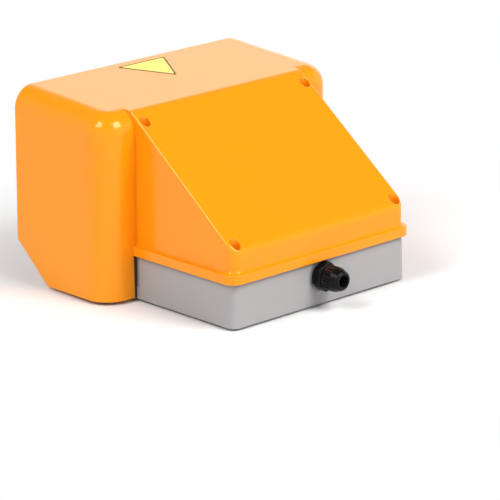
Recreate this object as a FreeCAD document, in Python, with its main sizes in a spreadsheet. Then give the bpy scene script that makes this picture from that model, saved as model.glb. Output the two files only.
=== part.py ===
import FreeCAD, Part
import math
import os
import re
import Sketcher
from FreeCAD import Placement, Rotation, Vector

# Hooded industrial foot switch with one pedal. The frame has +Z up and +Y towards the cable gland;
# the foot goes in from -Y. The origin is the middle of the space it stands on, at floor height.
# Every piece is drawn with the rear face of the base at y = 0 and then moved back as one.

SIZES = {
    # Base: a deep box for the switches at the rear and a flat deck under the pedal
    "base_width": 185.0,
    "box_reach": 128.0,
    "base_height": 36.5,
    "base_wall": 4.0,
    "base_floor": 4.0,
    "base_corner": 7.0,
    "base_draft": 0.7,
    "deck_margin": 4.4,
    "deck_ahead": 78.0,
    "deck_overlap": 12.0,
    "deck_thick": 5.0,
    "deck_corner": 25.0,
    "boss_radius": 5.4,
    "standoff_radius": 3.6,
    # Feet under the base and the four holes for fixing it to a floor
    "foot_proud": 2.0,
    "foot_radius": 8.0,
    "foot_recess": 1.5,
    "foot_front_x": 84.0,
    "foot_front_ahead": 62.0,
    "foot_rear_x": 78.0,
    "foot_rear": 14.0,
    "fixing_margin": 11.0,
    "fixing_front_ahead": 50.0,
    "fixing_rear_ahead": 8.0,
    "fixing_radius": 3.25,
    # Hood: the canopy over the foot, the sloped cover behind it and the lip round the base
    "hood_ahead": 88.3,
    "canopy_overlap": 18.3,
    "canopy_width": 242.8,
    "canopy_flare": 2.6,
    "hood_gap": 3.0,
    "front_height": 156.8,
    "rear_height": 150.0,
    "hood_wall": 3.0,
    "crown_round": 17.3,
    "canopy_corner": 21.0,
    "heel_rise": 31.5,
    "heel_run": 36.5,
    "cover_width": 184.0,
    "cover_taper": 1.6,
    "crest_margin": 5.0,
    "slope_foot": 62.4,
    "cover_corner": 8.0,
    "slope_edge": 2.0,
    "crest_round": 12.0,
    "lip_proud": 3.4,
    "lip_hang": 1.3,
    "lip_web": 2.0,
    "lip_cove": 2.6,
    "lip_edge": 0.7,
    "skirt_gap": 0.3,
    "canopy_gap": 2.4,
    "seal_gap": 0.2,
    # Wells of the four long screws, and the posts for the screws at the hood's sides
    "well_margin": 8.0,
    "well_setback": 22.5,
    "well_rear": 6.0,
    "well_radius": 4.3,
    "well_seat": 5.0,
    "column": 8.0,
    "column_round": 3.0,
    "side_screw_margin": 10.4,
    "side_screw_ahead": 29.0,
    "side_post": 22.0,
    "side_post_radius": 6.0,
    "side_head": 2.2,
    "side_screw_length": 14.0,
    # Screws
    "screw_radius": 2.5,
    "screw_gap": 0.25,
    "screw_length": 22.0,
    "screw_head": 4.0,
    "screw_bite": 0.45,
    "small_screw": 1.75,
    "small_bite": 0.35,
    "small_head": 3.0,
    "head_height": 2.2,
    # Lid and gasket of the switch space
    "gasket_thick": 2.0,
    "gasket_width": 5.0,
    "lid_thick": 2.5,
    "lid_inset": 0.8,
    "lid_recess": 1.4,
    "lid_screw_x": 50.0,
    "lid_screw_length": 11.0,
    "lid_screw_setback": 7.0,
    # Pedal and its tread
    "pedal_tilt": 7.0,
    "pedal_margin": 33.4,
    "toe_margin": 4.5,
    "pedal_front": 16.0,
    "column_clear": 12.5,
    "toe_reach": 36.0,
    "pedal_rise": 10.0,
    "pedal_plate": 4.0,
    "pedal_skirt": 14.0,
    "pedal_wall": 3.5,
    "skirt_rear": 56.0,
    "pedal_corner": 12.0,
    "step_round": 6.0,
    "rib_inner": 22.0,
    "rib_outer": 56.0,
    "rib_thick": 3.0,
    "rib_depth": 6.0,
    "hub_radius": 7.5,
    "hub_length": 12.0,
    "tread_inset": 9.0,
    "tread_thick": 2.0,
    "tread_rib": 1.2,
    "tread_pitch": 9.0,
    "tread_ribs": 16,
    # Shaft, its bushes and rings, and the cheeks that carry it
    "shaft_ahead": 62.0,
    "shaft_height": 36.0,
    "shaft_radius": 4.0,
    "shaft_end": 4.0,
    "running_gap": 0.05,
    "bush_radius": 5.5,
    "bush_flange": 1.2,
    "ring_gap": 0.3,
    "ring_thick": 1.2,
    "cheek_gap": 2.0,
    "cheek_thick": 7.0,
    "cheek_radius": 9.0,
    "cheek_foot": 20.0,
    # Rubber stops and buffers, and the return spring
    "stop_x": 60.0,
    "stop_ahead": 73.5,
    "stop_radius": 5.0,
    "stop_post": 12.0,
    "stop_cap": 6.4,
    "buffer_x": 50.0,
    "buffer_reach": 50.0,
    "buffer_radius": 6.0,
    "buffer_height": 3.6,
    "spring_margin": 22.0,
    "spring_radius": 8.0,
    "spring_wire": 1.0,
    "spring_turns": 5.0,
    # Plunger, its bushing and its yoke
    "plunger_setback": 14.0,
    "plunger_radius": 4.0,
    "touch_gap": 0.2,
    "yoke_half": 20.0,
    "yoke_width": 9.0,
    "yoke_height": 3.2,
    "yoke_screw_length": 9.0,
    "collar_radius": 6.5,
    "collar_height": 3.0,
    "bushing_radius": 5.6,
    "bushing_flange": 1.0,
    "seal_radius": 5.0,
    "seal_height": 2.0,
    "nut_height": 2.6,
    # Switches on their plate, and the earth clamp
    "switch_x": 15.0,
    "switch_width": 20.0,
    "switch_length": 44.0,
    "switch_height": 14.3,
    "button_radius": 2.5,
    "button_height": 7.0,
    "button_room": 7.2,
    "plate_thick": 1.5,
    "standoff": 2.0,
    "plate_screw_x": 30.0,
    "plate_screw_front_gap": 3.0,
    "plate_screw_rear_gap": 38.0,
    "plate_screw_length": 6.0,
    "terminal_length": 16.0,
    "terminal_drop": 4.0,
    "terminal_radius": 1.2,
    "terminal_head": 2.6,
    "terminal_depth": 1.2,
    "terminal_cap": 1.6,
    "terminal_side": 5.0,
    "terminal_first": 4.5,
    "terminal_pitch": 7.0,
    "earth_x": 55.0,
    "earth_reach": 60.0,
    # Cable gland
    "gland_reach": 24.0,
    "gland_height": 24.8,
    "gland_thread": 7.9,
    "gland_flats": 20.5,
    "gland_collar": 6.8,
    "gland_turn": 20.0,
    "gland_inside": 12.0,
    "gland_neck_end": 15.0,
    "gland_seat": 12.0,
    "washer_thick": 1.2,
    "locknut_thick": 4.0,
    "cable_radius": 4.5,
    "insert_radius": 6.2,
    "insert_start": 8.0,
    "insert_end": 21.5,
    "cap_start": 9.0,
    "cap_radius": 9.8,
    "nose_radius": 6.3,
    "flute_radius": 1.6,
    "flute_depth": 0.9,
    "flute_start": 1.5,
    "flute_length": 7.0,
    "flute_count": 12,
}

# Places that follow from the sizes. Heights are above the floor, reaches are from the rear face forwards,
# and what a size calls ahead is ahead of the front of the box.
PLACES = {
    "hood_reach": "box_reach + hood_ahead",
    "deck_reach": "box_reach + deck_ahead",
    "shaft_reach": "box_reach + shaft_ahead",
    "stop_reach": "box_reach + stop_ahead",
    "foot_front": "box_reach + foot_front_ahead",
    "fixing_front": "box_reach + fixing_front_ahead",
    "fixing_rear": "box_reach + fixing_rear_ahead",
    "side_screw_reach": "box_reach + side_screw_ahead",
    "rear": "(hood_reach - gland_reach) / 2",
    "rim": "foot_proud + base_height",
    "floor_top": "foot_proud + base_floor",
    "deck_top": "foot_proud + deck_thick",
    "side_seat": "foot_proud + side_head",
    "lid_base": "rim + gasket_thick",
    "lid_top": "lid_base + lid_thick",
    "lip_base": "rim - lip_hang",
    "lip_top": "lid_top + lip_web",
    "base_half": "base_width / 2",
    "rim_half": "base_half - base_height * tan(base_draft)",
    "canopy_half": "canopy_width / 2",
    "canopy_foot": "canopy_half + canopy_flare",
    "canopy_rear": "box_reach - canopy_overlap",
    "slope_reach": "canopy_rear + crest_margin",
    "side_screw_x": "canopy_half - side_screw_margin",
    "well_x": "base_half - well_margin",
    "well_front": "box_reach - well_setback",
    "lid_screw_reach": "box_reach - lid_screw_setback",
    "plunger_reach": "box_reach - plunger_setback",
    "plate_screw_front": "plunger_reach + plate_screw_front_gap",
    "plate_screw_rear": "plunger_reach - plate_screw_rear_gap",
    "spring_reach": "box_reach + spring_margin",
    "deck_half": "canopy_half - deck_margin",
    "deck_rear": "box_reach - deck_overlap",
    "fixing_x": "deck_half - fixing_margin",
    "skirt_half": "base_half + skirt_gap",
    "lip_half": "base_half + lip_proud",
    "cover_half": "cover_width / 2",
    "cover_top_half": "cover_half - cover_taper",
    "cover_inner": "cover_top_half - hood_wall",
    "well_inner": "well_x - column",
    "crown_fall": "(front_height - rear_height) / (hood_reach - canopy_rear)",
    "crest": "front_height - crown_fall * (hood_reach - slope_reach)",
    "slope_fall": "(crest - slope_foot) / slope_reach",
    "crown_wall": "hood_wall * sqrt(1 + crown_fall ^ 2)",
    "slope_wall": "hood_wall * sqrt(1 + slope_fall ^ 2)",
    "crest_shift": "(slope_wall - crown_wall) / (slope_fall - crown_fall)",
    "crest_inner": "crest + crown_fall * crest_shift - crown_wall",
    "cover_front": "canopy_rear + 25",
    "cover_front_top": "crest + crown_fall * (cover_front - slope_reach)",
    "canopy_inner": "canopy_rear + hood_wall",
    "pedal_half": "canopy_half - pedal_margin",
    "toe_half": "well_inner - toe_margin",
    "pedal_step": "shaft_reach - well_front - column_clear",
    "pedal_rear": "shaft_reach - toe_reach",
    "cheek_inner": "pedal_half + cheek_gap",
    "cheek_outer": "cheek_inner + cheek_thick",
    "switch_base": "floor_top + standoff + plate_thick",
    "switch_top": "switch_base + switch_height",
    "terminal_seat": "switch_top - terminal_drop",
    "case_front": "-(plunger_reach + 6)",
    "case_rear": "case_front + switch_length",
    "button_base": "switch_base + 2 + button_room",
    "button_top": "switch_top + button_height",
    "yoke_seat": "button_top + touch_gap",
    "collar_base": "yoke_seat + yoke_height",
    "collar_top": "collar_base + collar_height",
    "bushing_base": "collar_top + 0.3",
    "pedal_line": "shaft_height + (pedal_rise - pedal_plate) / cos(pedal_tilt)",
    "plunger_top": "pedal_line + (shaft_reach - plunger_reach) * tan(pedal_tilt) - 0.4",
    "spring_top": "pedal_line + (shaft_reach - spring_reach - spring_radius) * tan(pedal_tilt) - 0.3",
    "post_top": "deck_top + stop_post",
    "spring_height": "spring_top - deck_top - 2 * spring_wire",
    "gland_collar_end": "washer_thick + gland_collar",
}

document = FreeCAD.newDocument("foot_switch")
pieces = []


def link(formula):
    """Turn the names in a formula into references to the two sheets."""

    def cell(match):
        word = match.group(0)
        if word in SIZES:
            return "Sizes." + word
        return "Places." + word if word in PLACES else word

    return re.sub(r"[a-z][a-z_]*", cell, str(formula))


def fill_sheet(name, cells):
    """Write named cells, one a row, into a sheet of the document."""
    sheet = document.addObject("Spreadsheet::Sheet", name)
    for row, (alias, content) in enumerate(cells.items(), start=1):
        sheet.set(f"A{row}", alias)
        sheet.setAlias(f"B{row}", alias)
        sheet.set(f"B{row}", content)
    document.recompute()
    return sheet


sizes = fill_sheet("Sizes", {alias: str(value) for alias, value in SIZES.items()})
own_names = {alias: "=" + link(formula).replace("Places.", "") for alias, formula in PLACES.items()}
places = fill_sheet("Places", own_names)


def size_of(name):
    """The number behind a size or a place, for picking edges and setting radii."""
    return SIZES[name] if name in SIZES else places.get(name)


def bind(thing, **formulas):
    """Bind properties to formulas. x, y and z stand for the placement."""
    for name, formula in formulas.items():
        path = f".Placement.Base.{name}" if name in ("x", "y", "z") else name
        thing.setExpression(path, link(formula))
    return thing


def draw(sketch, points):
    """Draw a closed outline through points whose coordinates are formulas."""
    count = len(points)
    for number in range(count):
        turn = 2 * math.pi * number / count
        after = 2 * math.pi * (number + 1) / count
        start = Vector(math.cos(turn), math.sin(turn), 0)
        sketch.addGeometry(Part.LineSegment(start, Vector(math.cos(after), math.sin(after), 0)), False)
    for number, (across, up) in enumerate(points):
        sketch.addConstraint(Sketcher.Constraint("Coincident", number, 2, (number + 1) % count, 1))
        for kind, formula in (("DistanceX", across), ("DistanceY", up)):
            index = sketch.addConstraint(Sketcher.Constraint(kind, number, 1, 1.0))
            sketch.setExpression(f"Constraints[{index}]", link(formula))


def draw_circles(sketch, circles):
    """Draw circles given as (across, up, radius) formulas."""
    for number, (across, up, radius) in enumerate(circles):
        sketch.addGeometry(Part.Circle(Vector(number, 0, 0), Vector(0, 0, 1), 1), False)
        for kind, where, formula in (("DistanceX", 3, across), ("DistanceY", 3, up)):
            index = sketch.addConstraint(Sketcher.Constraint(kind, number, where, 1.0))
            sketch.setExpression(f"Constraints[{index}]", link(formula))
        index = sketch.addConstraint(Sketcher.Constraint("Radius", number, 1.0))
        sketch.setExpression(f"Constraints[{index}]", link(radius))


TURNS = {
    "XY": Rotation(),
    "XZ": Rotation(Vector(1, 0, 0), 90),
    "YZ": Rotation(Vector(1, 1, 1), 120),
}
NORMALS = {"XY": Vector(0, 0, 1), "XZ": Vector(0, 1, 0), "YZ": Vector(1, 0, 0)}
LEVELS = {"XY": "z", "XZ": "y", "YZ": "x"}


def slab(name, plane, points, start, end):
    """Extrude an outline in one of the main planes from one level to another."""
    sketch = document.addObject("Sketcher::SketchObject", name + "_outline")
    sketch.Placement = Placement(Vector(), TURNS[plane])
    draw(sketch, points)
    bind(sketch, **{LEVELS[plane]: start})
    solid = document.addObject("Part::Extrusion", name)
    solid.Base = sketch
    solid.DirMode = "Custom"
    solid.Dir = NORMALS[plane]
    solid.Solid = True
    return bind(solid, LengthFwd=f"({end}) - ({start})")


def box(name, low, high):
    """A block between two corners."""
    solid = document.addObject("Part::Box", name)
    bind(solid, **dict(zip("xyz", low)))
    spans = [f"({b}) - ({a})" for a, b in zip(low, high)]
    return bind(solid, **dict(zip(("Length", "Width", "Height"), spans)))


AXES = {"x": Rotation(Vector(0, 1, 0), 90), "y": Rotation(Vector(1, 0, 0), -90), "z": Rotation()}


def rod(name, axis, radius, start, length):
    """A round bar of a given length from its start point along an axis."""
    solid = document.addObject("Part::Cylinder", name)
    solid.Placement = Placement(Vector(), AXES[axis])
    bind(solid, **dict(zip("xyz", start)))
    return bind(solid, Radius=radius, Height=length)


def rods(name, set_of_places, radius, low, high):
    """Upright round bars, one at each place, from one level to another."""
    return [
        rod(f"{name}_{number}", "z", radius, (x, y, low), f"({high}) - ({low})")
        for number, (x, y) in enumerate(set_of_places)
    ]


def hexagon(name, axis, flats, start, length, turn=0):
    """A six-sided bar, given its width across flats."""
    solid = document.addObject("Part::Prism", name)
    solid.Polygon = 6
    solid.Placement = Placement(Vector(), AXES[axis] * Rotation(Vector(0, 0, 1), turn))
    bind(solid, **dict(zip("xyz", start)))
    return bind(solid, Circumradius=f"({flats}) / sqrt(3)", Height=length)


def spun(name, axis, points, start):
    """Spin an outline of (radius, height) points round an axis through a start point."""
    sketch = document.addObject("Sketcher::SketchObject", name + "_outline")
    sketch.Placement = Placement(Vector(), TURNS["XZ"])
    draw(sketch, points)
    turned = document.addObject("Part::Revolution", name + "_turned")
    turned.Source = sketch
    turned.Axis = Vector(0, 0, 1)
    turned.Angle = 360
    turned.Solid = True
    solid = document.addObject("Part::Compound", name)
    solid.Links = [turned]
    solid.Placement = Placement(Vector(), AXES[axis])
    return bind(solid, **dict(zip("xyz", start)))


def fuse(name, solids):
    joined = document.addObject("Part::MultiFuse", name)
    joined.Shapes = solids
    joined.Refine = True
    return joined


def common(name, first, second):
    shared = document.addObject("Part::Common", name)
    shared.Base = first
    shared.Tool = second
    return shared


def cut(name, solid, tools):
    """Take the tools away from a solid."""
    rest = document.addObject("Part::Cut", name)
    rest.Base = solid
    rest.Tool = tools[0] if len(tools) == 1 else fuse(name + "_tools", tools)
    rest.Refine = True
    return rest


def edge_numbers(solid, wanted):
    """The numbers of a solid's edges that a test picks out."""
    document.recompute()
    edges = enumerate(solid.Shape.Edges, start=1)
    return [number for number, edge in edges if wanted(edge)]


def rounded(name, solid, picks):
    """Round the edges that each test picks out, each set with its own radius."""
    blend = document.addObject("Part::Fillet", name)
    blend.Base = solid
    blend.Edges = [
        (number, radius, radius) for wanted, radius in picks for number in edge_numbers(solid, wanted)
    ]
    return blend


def ends(edge):
    return [vertex.Point for vertex in edge.Vertexes]


def runs(axis, **at):
    """A test for straight edges along an axis, with their middles inside the given limits."""

    def wanted(edge):
        points = ends(edge)
        if len(points) != 2:
            return False
        span = points[1] - points[0]
        if abs(getattr(span, axis)) < 0.75 * edge.Length:
            return False
        middle = (points[0] + points[1]) * 0.5
        return all(low <= getattr(middle, name) <= high for name, (low, high) in at.items())

    return wanted


def near(value, slack=0.5):
    return (value - slack, value + slack)


def outline(height):
    """A test for the edges that run round the lip at one height, except at its front."""

    def wanted(edge):
        points = ends(edge)
        front = -(size_of("canopy_rear") + SIZES["hood_wall"] / 2)
        level = all(abs(point.z - size_of(height)) < 0.01 for point in points)
        return level and any(point.y > front + 0.01 for point in points)

    return wanted


def both(points):
    """Complete an outline that is the same on both sides of x = 0 from its +x half."""
    return points + [(f"-({across})", up) for across, up in reversed(points)]


def spread(*corners):
    """Every place of a symmetrical set, from the +x ones."""
    return [(sign + x, y) for x, y in corners for sign in ("", "-")]


def group(name, solids):
    bundle = document.addObject("Part::Compound", name)
    bundle.Links = solids
    return bundle


def finish(thing, label):
    """Name a piece and move it back from the rear face to the frame."""
    thing.Label = label
    pieces.append(thing)
    return bind(thing, y="rear")


# The hood is one moulding. The canopy flares a little towards the floor, its crown falls to the rear,
# and its heel corners are cut away at the front. The sloped cover behind it is open to it inside.


def canopy(name, wall, crown_wall, rear, crown_round, corner):
    """The canopy's outer form, or its hollow when the walls' thicknesses are given."""
    ends_of_loft = []
    rear_top = f"rear_height + crown_fall * (canopy_rear - {rear})"
    for place, height in (("hood_reach", "front_height"), (rear, rear_top)):
        level = "hood_gap" if wall == "0" else "hood_gap - 10"
        lower = f"canopy_half + canopy_flare * ({height} - ({level})) / ({height}) - ({wall})"
        points = both([(f"canopy_half - ({wall})", f"{height} - ({crown_wall})"), (lower, level)])
        sketch = document.addObject("Sketcher::SketchObject", f"{name}_{place}")
        sketch.Placement = Placement(Vector(), TURNS["XZ"])
        draw(sketch, points)
        ends_of_loft.append(bind(sketch, y=f"-({place})"))
    loft = document.addObject("Part::Loft", name + "_loft")
    loft.Sections = ends_of_loft
    loft.Solid = True
    loft.Ruled = True
    document.recompute()
    back = loft.Shape.BoundBox.YMax
    top = loft.Shape.BoundBox.ZMax
    crown = (top - SIZES["crown_round"], top)
    return rounded(name, loft, [
        (runs("z", y=near(back)), corner),
        (runs("y", z=crown), crown_round),
        (runs("x", y=near(back), z=crown), crown_round),
    ])


canopy_outer = canopy("canopy", "0", "0", "canopy_rear", SIZES["crown_round"], SIZES["canopy_corner"])
canopy_hollow = canopy(
    "canopy_hollow", "hood_wall", "crown_wall", "canopy_inner",
    SIZES["crown_round"] - SIZES["hood_wall"], SIZES["canopy_corner"] - SIZES["hood_wall"],
)

cover_side = slab("cover_side", "YZ", [
    ("-cover_front", "lid_top"),
    ("-cover_front", "cover_front_top"),
    ("-slope_reach", "crest"),
    ("0", "slope_foot"),
    ("0", "lid_top"),
], "-base_half", "base_half")
cover_end = slab("cover_end", "XZ", both([
    ("cover_half", "lid_top"),
    ("cover_top_half", "front_height"),
]), "-cover_front", "0")
cover_block = common("cover_block", cover_side, cover_end)
upper = (SIZES["slope_foot"] + SIZES["cover_corner"], SIZES["front_height"])
cover_outer = rounded("cover_outer", cover_block, [
    (runs("z", y=near(0, 1)), SIZES["cover_corner"]),
    (runs("x", y=near(0, 1), z=near(SIZES["slope_foot"])), SIZES["cover_corner"]),
    (runs("x", y=near(-size_of("slope_reach")), z=upper), SIZES["crest_round"]),
    (runs("y", y=(-size_of("slope_reach"), 0), z=upper), SIZES["slope_edge"]),
])

lip_block = box(
    "lip_block",
    ("-lip_half", "-(canopy_rear + hood_wall / 2)", "lip_base"),
    ("lip_half", "lip_proud", "lip_top"),
)
lip = rounded("lip_corners", lip_block, [
    (runs("z", y=near(SIZES["lip_proud"])), SIZES["base_corner"] + SIZES["lip_proud"]),
])
lip = rounded("lip", lip, [(outline(height), SIZES["lip_edge"]) for height in ("lip_top", "lip_base")])
document.recompute()

cover_hollow = common(
    "cover_hollow",
    slab("cover_hollow_side", "YZ", [
        ("-cover_front", "lid_top - 1"),
        ("-cover_front", "cover_front_top - crown_wall"),
        ("-(slope_reach + crest_shift)", "crest_inner"),
        ("-hood_wall", "slope_foot + slope_fall * hood_wall - slope_wall"),
        ("-hood_wall", "lid_top - 1"),
    ], "-base_half", "base_half"),
    rounded("cover_hollow_columns", slab("cover_hollow_plan", "XY", both([
        ("cover_inner", "-cover_front"),
        ("cover_inner", "-(well_front + column)"),
        ("well_inner", "-(well_front + column)"),
        ("well_inner", "-(well_front - column)"),
        ("cover_inner", "-(well_front - column)"),
        ("cover_inner", "-(well_rear + column)"),
        ("well_inner", "-(well_rear + column)"),
        ("well_inner", "-hood_wall"),
    ]), "lid_top - 1", "front_height"), [
        (runs("z", y=(-size_of("canopy_rear") - 10, 0)), SIZES["column_round"]),
    ]),
)
skirt_hollow = box(
    "skirt_hollow", ("-skirt_half", "-(canopy_inner + 1)", "0"), ("skirt_half", "skirt_gap", "lid_top"),
)
base_pass = box(
    "base_pass", ("-(base_half + canopy_gap)", "-(canopy_inner + 1)", "0"),
    ("base_half + canopy_gap", "-canopy_rear", "lip_base"),
)
heel_cut = slab("heel_cut", "YZ", [
    ("-(hood_reach + 5)", "hood_gap - 5"),
    ("-(hood_reach - heel_run - 5 * heel_run / heel_rise)", "hood_gap - 5"),
    ("-(hood_reach + 5)", "hood_gap + heel_rise + 5 * heel_rise / heel_run"),
], "-canopy_width", "canopy_width")

wells = []
for number, (x, y) in enumerate(spread(("well_x", "-well_front"), ("well_x", "-well_rear"))):
    wells.append(rod(f"well_{number}", "z", "well_radius", (x, y, "lid_top + well_seat"), "front_height"))
    wells.append(rod(f"well_hole_{number}", "z", "screw_radius + screw_gap", (x, y, "lid_top - 1"),
                     "well_seat + 2"))

# A cove runs round the foot of the sloped cover, on the lip.
hood_form = fuse("hood_form", [canopy_outer, cover_outer, lip])


def cover_foot(edge):
    """The cover's outline on top of the lip, behind the canopy."""
    points = ends(edge)
    return all(
        abs(point.z - size_of("lip_top")) < 0.01
        and point.y > -size_of("canopy_rear") - 0.01
        and abs(point.x) < size_of("cover_half") + 0.01
        and point.y < 0.01
        for point in points
    )


hood_form = rounded("hood_coved", hood_form, [(cover_foot, SIZES["lip_cove"])])

hood_shell = cut(
    "hood_shell", hood_form,
    [canopy_hollow, cover_hollow, skirt_hollow, base_pass, heel_cut] + wells,
)

# Short posts inside the canopy's side walls take screws from under the deck.
side_posts = []
side_holes = []
for side, across, low, high in (
    ("left", "side_screw_x", "side_screw_x", "canopy_foot - hood_wall / 2"),
    ("right", "-side_screw_x", "-(canopy_foot - hood_wall / 2)", "-side_screw_x"),
):
    place = (across, "-side_screw_reach")
    side_posts.append(rod(f"{side}_side_post", "z", "side_post_radius", place + ("deck_top",), "side_post"))
    side_posts.append(box(f"{side}_side_web", (low, "-(side_screw_reach + side_post_radius / 2)", "deck_top"),
                          (high, "-(side_screw_reach - side_post_radius / 2)", "deck_top + side_post")))
    side_holes.append(rod(f"{side}_side_hole", "z", "small_screw - 0.3", place + ("0",),
                          "deck_top + side_post - hood_wall"))
finish(cut("hood", fuse("hood_with_posts", [hood_shell] + side_posts), side_holes), "hood")

# A black rubber strip fills the slot between the canopy's rear wall and the base at each side.
seals = []
for side, sign in (("left", ""), ("right", "-")):
    seals.append(slab(f"{side}_seal", "XZ", [
        (f"{sign}(base_half + canopy_gap)", "hood_gap"),
        (f"{sign}(base_half + canopy_gap)", "lip_base"),
        (f"{sign}(base_half + seal_gap - (lip_base - foot_proud) * tan(base_draft))", "lip_base"),
        (f"{sign}(base_half + seal_gap - (hood_gap - foot_proud) * tan(base_draft))", "hood_gap"),
    ], "-canopy_inner", "-canopy_rear"))
finish(group("seals", seals), "edge_seals")

# The base is one grey moulding: a box with drafted walls for the switches and a deck for the pedal.
WELLS = spread(("well_x", "-well_front"), ("well_x", "-well_rear"))
LID_SCREWS = spread(("lid_screw_x", "-lid_screw_reach"))
PLATE_SCREWS = spread(("plate_screw_x", "-plate_screw_front"), ("plate_screw_x", "-plate_screw_rear"))
FIXINGS = spread(("fixing_x", "-fixing_front"), ("fixing_x", "-fixing_rear"))
EARTH = [("earth_x", "-earth_reach")]
SIDE_SCREWS = spread(("side_screw_x", "-side_screw_reach"))
FEET = spread(("foot_front_x", "-foot_front"), ("foot_rear_x", "-foot_rear"))
STOPS = spread(("stop_x", "-stop_reach"))

box_form = slab("box_form", "XY", both([
    ("base_half", "-box_reach"), ("base_half", "0"),
]), "foot_proud", "rim")
bind(box_form, TaperAngle="-base_draft")
box_form = rounded("box_rounded", box_form, [(runs("z"), SIZES["base_corner"])])
deck = slab("deck", "XY", both([
    ("deck_half", "-deck_reach"), ("deck_half", "-deck_rear"),
]), "foot_proud", "deck_top")
deck = rounded("deck_rounded", deck, [
    (runs("z", y=near(-size_of("deck_reach"))), SIZES["deck_corner"]),
    (runs("z", y=near(-size_of("deck_rear"))), SIZES["base_corner"]),
])
room = box("room", ("-(rim_half - base_wall)", "-(box_reach - base_wall)", "floor_top"),
           ("rim_half - base_wall", "-base_wall", "rim + 1"))
room = rounded("room_rounded", room, [(runs("z"), SIZES["base_corner"] - SIZES["base_wall"])])

bosses = rods("boss", WELLS + LID_SCREWS, "boss_radius", "foot_proud + 1", "rim")
standoffs = rods("standoff", PLATE_SCREWS + EARTH, "standoff_radius", "foot_proud + 1",
                 "floor_top + standoff")
stop_posts = rods("stop_post", STOPS, "stop_radius - 1", "deck_top - 1", "post_top")
spring_peg = rod("spring_peg", "z", "spring_radius - spring_wire", ("0", "-spring_reach", "deck_top - 1"),
                 "5")
gland_pad = rod("gland_pad", "y", "gland_seat", ("0", "-base_wall", "gland_height"), "base_wall")
cheeks = []
for side, inner, outer in (("left", "cheek_inner", "cheek_outer"), ("right", "-cheek_outer", "-cheek_inner")):
    web = slab(f"{side}_cheek_web", "YZ", [
        ("-(shaft_reach - cheek_foot)", "deck_top - 1"),
        ("-(shaft_reach - cheek_radius)", "shaft_height"),
        ("-(shaft_reach + cheek_radius)", "shaft_height"),
        ("-(shaft_reach + cheek_radius)", "deck_top - 1"),
    ], inner, outer)
    eye = rod(f"{side}_cheek_eye", "x", "cheek_radius", (inner, "-shaft_reach", "shaft_height"),
              "cheek_thick")
    cheeks += [web, eye]

base_holes = rods("boss_hole", WELLS, "screw_radius - 0.4", "floor_top + 2", "rim + 1")
base_holes += rods("lid_hole", LID_SCREWS, "small_screw - 0.3", "rim - 12", "rim + 1")
base_holes += rods("standoff_hole", PLATE_SCREWS + EARTH, "small_screw - 0.3", "foot_proud + 1.2", "rim + 1")
base_holes += rods("fixing", FIXINGS, "fixing_radius", "0", "rim")
base_holes += rods("side_hole", SIDE_SCREWS, "small_screw + screw_gap", "0", "rim")
base_holes += rods("side_head", SIDE_SCREWS, "small_head + screw_gap", "0", "foot_proud + side_head")
base_holes += rods("foot_seat", FEET, "foot_radius + 0.2", "0", "foot_proud + foot_recess")
base_holes.append(rod("gland_hole", "y", "gland_thread + 0.2", ("0", "-20", "gland_height"), "30"))
base_holes.append(rod("shaft_bore", "x", "bush_radius", ("-cheek_outer - 1", "-shaft_reach", "shaft_height"),
                      "2 * cheek_outer + 2"))
base_solid = cut("base_solid", fuse("base_outside", [box_form, deck]), [room])
additions = [spring_peg, gland_pad] + bosses + standoffs + stop_posts + cheeks
base_solid = fuse("base_bosses", [base_solid] + additions)
finish(cut("base", base_solid, base_holes), "base_housing")

finish(group("feet", rods("foot", FEET, "foot_radius", "0", "foot_proud + foot_recess")), "rubber_feet")

# A gasket and a flat lid close the switch space. The long screws clamp them under the hood.
lid_half = "rim_half - lid_inset"
lid_plan = both([(lid_half, "-(box_reach - lid_inset)"), (lid_half, "-lid_inset")])

gasket_form = rounded("gasket_form", slab("gasket_plan", "XY", lid_plan, "rim", "lid_base"), [
    (runs("z"), SIZES["base_corner"]),
])
gasket_room = box("gasket_room", ("-(rim_half - gasket_width)", "-(box_reach - gasket_width)", "rim - 1"),
                  ("rim_half - gasket_width", "-gasket_width", "lid_base + 1"))
gasket_limit = rounded("gasket_limit", slab("gasket_limit_plan", "XY", lid_plan, "rim", "lid_base"), [
    (runs("z"), SIZES["base_corner"]),
])
gasket_eyes = rods("gasket_eye", WELLS + LID_SCREWS, "boss_radius - 0.5", "rim", "lid_base")
gasket = fuse("gasket_frame", [
    cut("gasket_ring", gasket_form, [gasket_room]),
    common("gasket_eyes_in", fuse("gasket_eyes", gasket_eyes), gasket_limit),
])
gasket_holes = rods("gasket_hole", WELLS + LID_SCREWS, "screw_radius + screw_gap", "rim - 1", "lid_base + 1")
finish(cut("gasket", gasket, gasket_holes), "compartment_gasket")

lid_form = rounded("lid_form", slab("lid_plan", "XY", lid_plan, "lid_base", "lid_top"), [
    (runs("z"), SIZES["base_corner"]),
])
lid_cuts = rods("lid_well", WELLS, "screw_radius + screw_gap", "lid_base - 1", "lid_top + 1")
lid_cuts += rods("lid_small", LID_SCREWS, "small_screw + screw_gap", "lid_base - 1", "lid_top + 1")
lid_cuts += rods("lid_recess", LID_SCREWS, "small_head", "lid_top - lid_recess", "lid_top + 1")
lid_cuts.append(rod("lid_bushing_hole", "z", "bushing_radius + 0.05", ("0", "-plunger_reach", "lid_base - 1"),
                    "lid_thick + 2"))
finish(cut("lid", lid_form, lid_cuts), "compartment_cover")


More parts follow.
